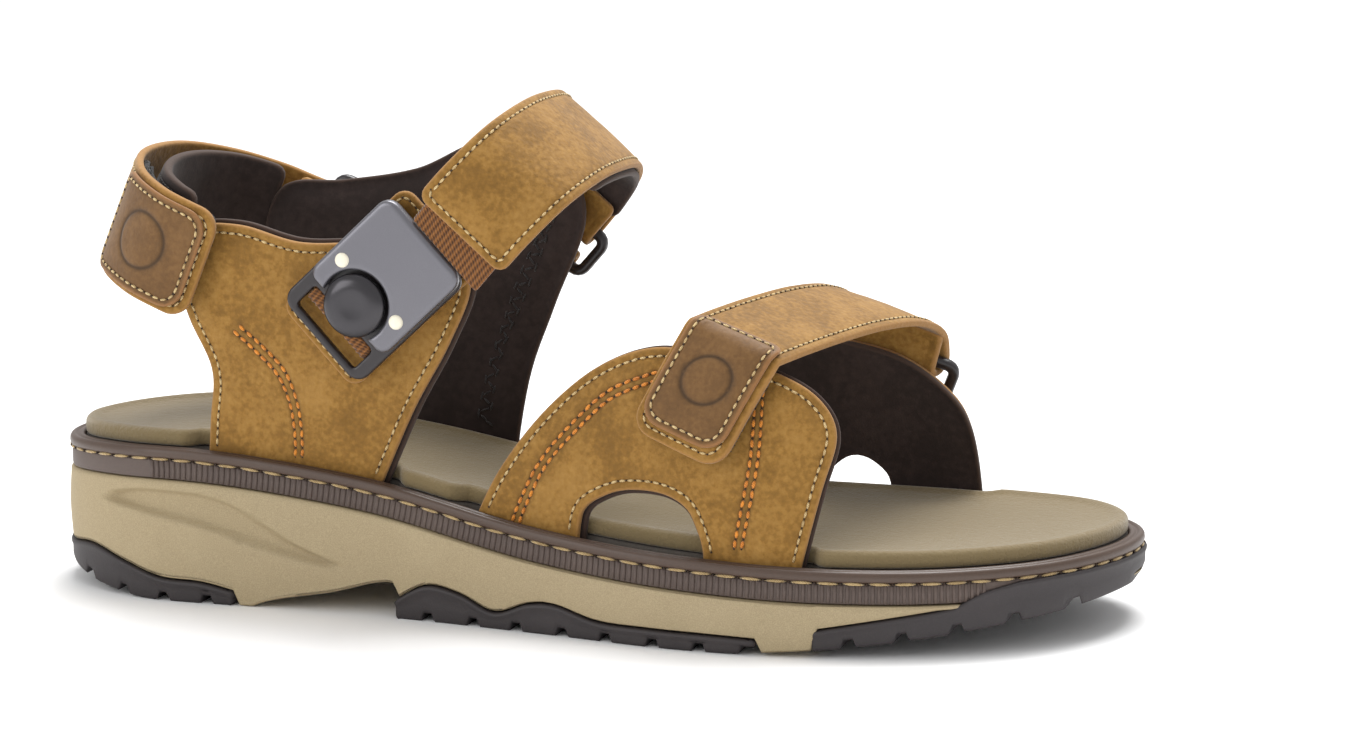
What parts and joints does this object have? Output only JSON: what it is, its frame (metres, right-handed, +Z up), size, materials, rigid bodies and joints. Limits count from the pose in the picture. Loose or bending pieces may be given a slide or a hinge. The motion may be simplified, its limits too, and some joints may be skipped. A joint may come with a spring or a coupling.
{
  "type": "strappy sport sandal",
  "caption": "Right-foot strappy sport sandal: leather straps with rings and a release buckle, hook-and-loop tabs, olive suede footbed on a treaded sole.",
  "frame": {"origin": "middle of the bounding box on the ground plane", "axes": "+X to the toe, +Y to the medial (inner) side, +Z up; right foot"},
  "size_m": [0.3, 0.1078, 0.1387],
  "materials": {
    "nubuck": "tan nubuck leather",
    "patch": "darker brown nubuck",
    "lining": "dark brown lining",
    "rubber": "dark moulded rubber",
    "midsole": "fine-grained beige foam rubber",
    "welt": "smooth dark brown welt",
    "rand": "fine-ribbed dark brown rubber",
    "suede": "olive suede microfibre",
    "foam": "open-cell foam",
    "board": "fibre board",
    "steel": "spring steel strip",
    "plastic": "dark satin plastic",
    "gunmetal": "grey satin gunmetal",
    "rivet": "cream plastic",
    "webbing": "ribbed brown webbing",
    "tape": "black hook and loop tape"
  },
  "bodies": {
    "sandal": {"outsole_heel": "rubber", "outsole_forefoot": "rubber", "outsole_toe": "rubber", "midsole": "midsole", "shank": "steel", "ribbed_rand": "rand", "welt": "welt", "insole_board": "board", "footbed_foam": "foam", "footbed_cover": "suede", "lateral_quarter": "nubuck", "lateral_quarter_lining": "lining", "lateral_vamp": "nubuck", "lateral_vamp_lining": "lining", "medial_quarter": "nubuck", "medial_quarter_lining": "lining", "medial_vamp": "nubuck", "medial_vamp_lining": "lining", "forefoot_ring_tab": "nubuck", "forefoot_loop_tape": "tape", "heel_ring": "plastic", "heel_ring_tab": "nubuck", "heel_strap": "nubuck", "heel_loop_tape": "tape", "heel_sling": "lining", "instep_ring_tab": "nubuck", "buckle_anchor_tab": "nubuck", "buckle_frame": "plastic", "anchor_webbing": "webbing"},
    "forefoot_ring_body": {"forefoot_ring": "plastic"},
    "forefoot_flap": {"forefoot_strap": "nubuck", "forefoot_hook_tape": "tape", "forefoot_patch": "patch"},
    "instep_ring_body": {"instep_ring": "plastic"},
    "instep_band": {"instep_strap": "nubuck", "instep_webbing": "webbing", "instep_strap_lining": "lining", "buckle_plate": "gunmetal", "buckle_rivet_front": "rivet", "buckle_rivet_rear": "rivet"},
    "release_button": {"buckle_button": "plastic"},
    "heel_flap": {"heel_tab": "nubuck", "heel_hook_tape": "tape", "heel_patch": "patch"}
  },
  "joints": [
    {"name": "forefoot_ring_swivel", "type": "hinge", "parent": "sandal", "child": "forefoot_ring_body", "pos_m": [0.07035, 0.04666, 0.05568], "axis": [-0.9252, -0.1778, 0.3353], "range_deg": [0, 30]},
    {"name": "forefoot_strap_open", "type": "hinge", "parent": "forefoot_ring_body", "child": "forefoot_flap", "pos_m": [0.07493, 0.04313, 0.06642], "axis": [-0.9252, -0.1778, 0.3353], "range_deg": [0, 75]},
    {"name": "instep_ring_swivel", "type": "hinge", "parent": "sandal", "child": "instep_ring_body", "pos_m": [-0.02775, 0.03807, 0.0954], "axis": [-0.7547, 0, 0.6561], "range_deg": [0, 25]},
    {"name": "instep_strap_open", "type": "hinge", "parent": "instep_ring_body", "child": "instep_band", "pos_m": [-0.01974, 0.03807, 0.1046], "axis": [-0.7547, 0, 0.6561], "range_deg": [0, 75]},
    {"name": "release_button_press", "type": "slide", "parent": "sandal", "child": "release_button", "axis": [0, 1, 0], "range_m": [0, 0.0015], "stiffness_N_per_m": 300},
    {"name": "heel_tab_peel", "type": "hinge", "parent": "sandal", "child": "heel_flap", "pos_m": [-0.13008, -0.00954, 0.10646], "axis": [-0.3746, 0, -0.9272], "range_deg": [0, 80]}
  ]
}
